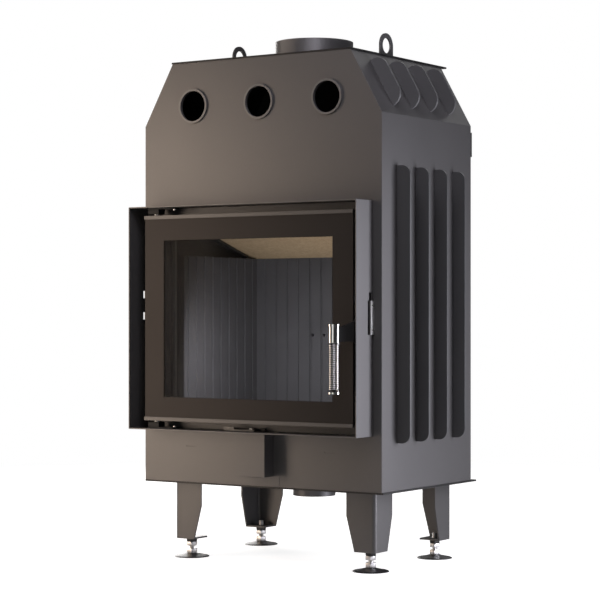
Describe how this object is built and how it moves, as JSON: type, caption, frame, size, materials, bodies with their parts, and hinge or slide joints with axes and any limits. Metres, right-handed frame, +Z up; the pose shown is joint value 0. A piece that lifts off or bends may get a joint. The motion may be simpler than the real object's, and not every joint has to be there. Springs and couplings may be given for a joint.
{
  "type": "fireplace insert",
  "caption": "Steel firebox insert with a finned casing, sloping hood, side-hinged glass door, hot-air stubs, flue collar, air slider and levelling feet.",
  "frame": {"origin": "on the floor, below the middle of the box that encloses the whole insert", "axes": "+Z up, +X to the right seen from the front, -Y towards the user"},
  "size_m": [0.716, 0.5354, 1.219],
  "materials": {
    "casing_paint": "satin grey-brown metallic paint",
    "plate_paint": "satin dark grey paint",
    "collar_paint": "satin dark grey paint",
    "surround_paint": "satin grey metallic paint",
    "door_steel": "matt black heat-proof paint",
    "trim_paint": "satin grey-brown metallic paint",
    "firebox_steel": "dull black sheet steel",
    "lining_stone": "matt dark grey cast lining",
    "baffle_board": "matt tan mineral board",
    "chrome": "bright plated steel",
    "zinc": "zinc-plated steel",
    "blackened_steel": "blackened steel",
    "rope": "woven glass-fibre rope",
    "glass": "clear ceramic glass with a black printed border"
  },
  "bodies": {
    "casing": {"front_panel": "casing_paint", "side_panel_left": "casing_paint", "side_panel_right": "casing_paint", "hood_side_left": "casing_paint", "hood_side_right": "casing_paint", "rear_panel": "casing_paint", "air_box": "casing_paint", "leg_front_left": "casing_paint", "leg_front_right": "casing_paint", "leg_rear_left": "casing_paint", "leg_rear_right": "casing_paint", "base_plate": "plate_paint", "top_plate": "plate_paint", "side_fins": "plate_paint", "hood_fins": "plate_paint", "rear_brackets": "plate_paint", "flue_collar": "collar_paint", "air_stubs": "collar_paint", "lifting_eyes": "collar_paint", "intake_collar": "collar_paint", "door_surround": "surround_paint", "hinge_blocks": "surround_paint", "slider_rail": "surround_paint", "door_seat": "door_steel", "firebox_shell": "firebox_steel", "lining_retainers": "firebox_steel", "baffle_rails": "firebox_steel", "lining_left": "lining_stone", "lining_right": "lining_stone", "lining_back": "lining_stone", "hearth_slabs": "lining_stone", "baffle": "baffle_board", "jam_nuts": "chrome", "fixing_screws": "chrome", "striker_plate": "zinc", "hinge_pins": "zinc", "weld_nuts": "blackened_steel"},
    "door": {"door_frame": "door_steel", "gasket_channel": "door_steel", "door_gasket": "rope", "glass_tape": "rope", "door_glass": "glass", "trim_top": "trim_paint", "trim_bottom": "trim_paint", "latch_pin": "zinc"},
    "handle": {"handle_arm": "door_steel", "grip_sleeve": "chrome", "grip_core": "chrome", "grip_spring": "chrome"},
    "air_control": {"air_slider": "trim_paint", "slider_bolt": "chrome", "air_damper": "zinc"},
    "foot_front_left": {"disc_front_left": "blackened_steel", "stud_front_left": "chrome"},
    "foot_front_right": {"disc_front_right": "blackened_steel", "stud_front_right": "chrome"},
    "foot_rear_left": {"disc_rear_left": "blackened_steel", "stud_rear_left": "chrome"},
    "foot_rear_right": {"disc_rear_right": "blackened_steel", "stud_rear_right": "chrome"}
  },
  "joints": [
    {"name": "door_swing", "type": "hinge", "parent": "casing", "child": "door", "pos_m": [-0.2625, -0.19325, 0.564], "axis": [0, 0, -1], "range_deg": [0, 100]},
    {"name": "handle_turn", "type": "hinge", "parent": "door", "child": "handle", "pos_m": [0.291, -0.19925, 0.564], "axis": [0, 0, 1], "range_deg": [-12, 15]},
    {"name": "air_slide", "type": "slide", "parent": "casing", "child": "air_control", "axis": [1, 0, 0], "range_m": [-0.017, 0.017]},
    {"name": "foot_front_left_level", "type": "slide", "parent": "casing", "child": "foot_front_left", "axis": [0, 0, -1], "range_m": [-0.005, 0.015]},
    {"name": "foot_front_right_level", "type": "slide", "parent": "casing", "child": "foot_front_right", "axis": [0, 0, -1], "range_m": [-0.005, 0.015]},
    {"name": "foot_rear_left_level", "type": "slide", "parent": "casing", "child": "foot_rear_left", "axis": [0, 0, -1], "range_m": [-0.005, 0.015]},
    {"name": "foot_rear_right_level", "type": "slide", "parent": "casing", "child": "foot_rear_right", "axis": [0, 0, -1], "range_m": [-0.005, 0.015]}
  ]
}
